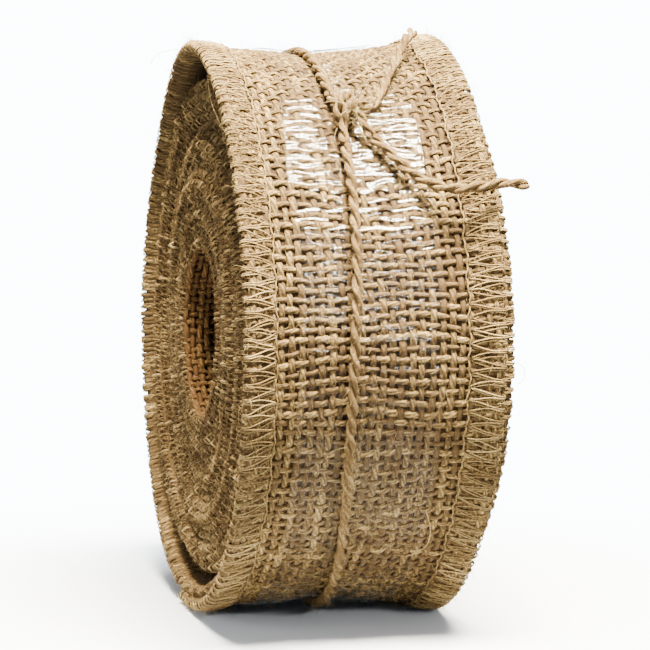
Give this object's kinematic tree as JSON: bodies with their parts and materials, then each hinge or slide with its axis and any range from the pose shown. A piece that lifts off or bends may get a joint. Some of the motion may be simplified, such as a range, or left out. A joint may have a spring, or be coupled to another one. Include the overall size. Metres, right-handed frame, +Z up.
{
  "type": "tied roll of burlap ribbon",
  "caption": "Coreless roll of woven jute ribbon with overlocked hems, standing on its rim, held by a clear film band and a knotted jute twine.",
  "frame": {"origin": "on the ground under the middle of the roll", "axes": "+Z up, +X along the roll's axis towards the end away from the viewer's left, -Y towards the front of the tread"},
  "size_m": [0.0674, 0.1376, 0.1443],
  "materials": {
    "jute_web": "open plain weave",
    "jute_hem": "folded and overlocked",
    "sewing_thread": "fuzzy spun thread",
    "clear_film": "clear, glossy, crinkled",
    "jute_twine": "two-ply twist"
  },
  "bodies": {
    "roll": {"ribbon_web": "jute_web", "hem_left": "jute_hem", "hem_right": "jute_hem", "needle_thread_left": "sewing_thread", "needle_thread_right": "sewing_thread", "looper_thread_left": "sewing_thread", "looper_thread_right": "sewing_thread", "film_band": "clear_film"},
    "twine_tie": {"twine_loop": "jute_twine", "twine_knot": "jute_twine", "twine_tail_upper": "jute_twine", "twine_tail_lower": "jute_twine"}
  },
  "joints": [
    {"name": "tie_slide", "type": "slide", "parent": "roll", "child": "twine_tie", "axis": [1, 0, 0], "range_m": [-0.004, 0.004]}
  ]
}
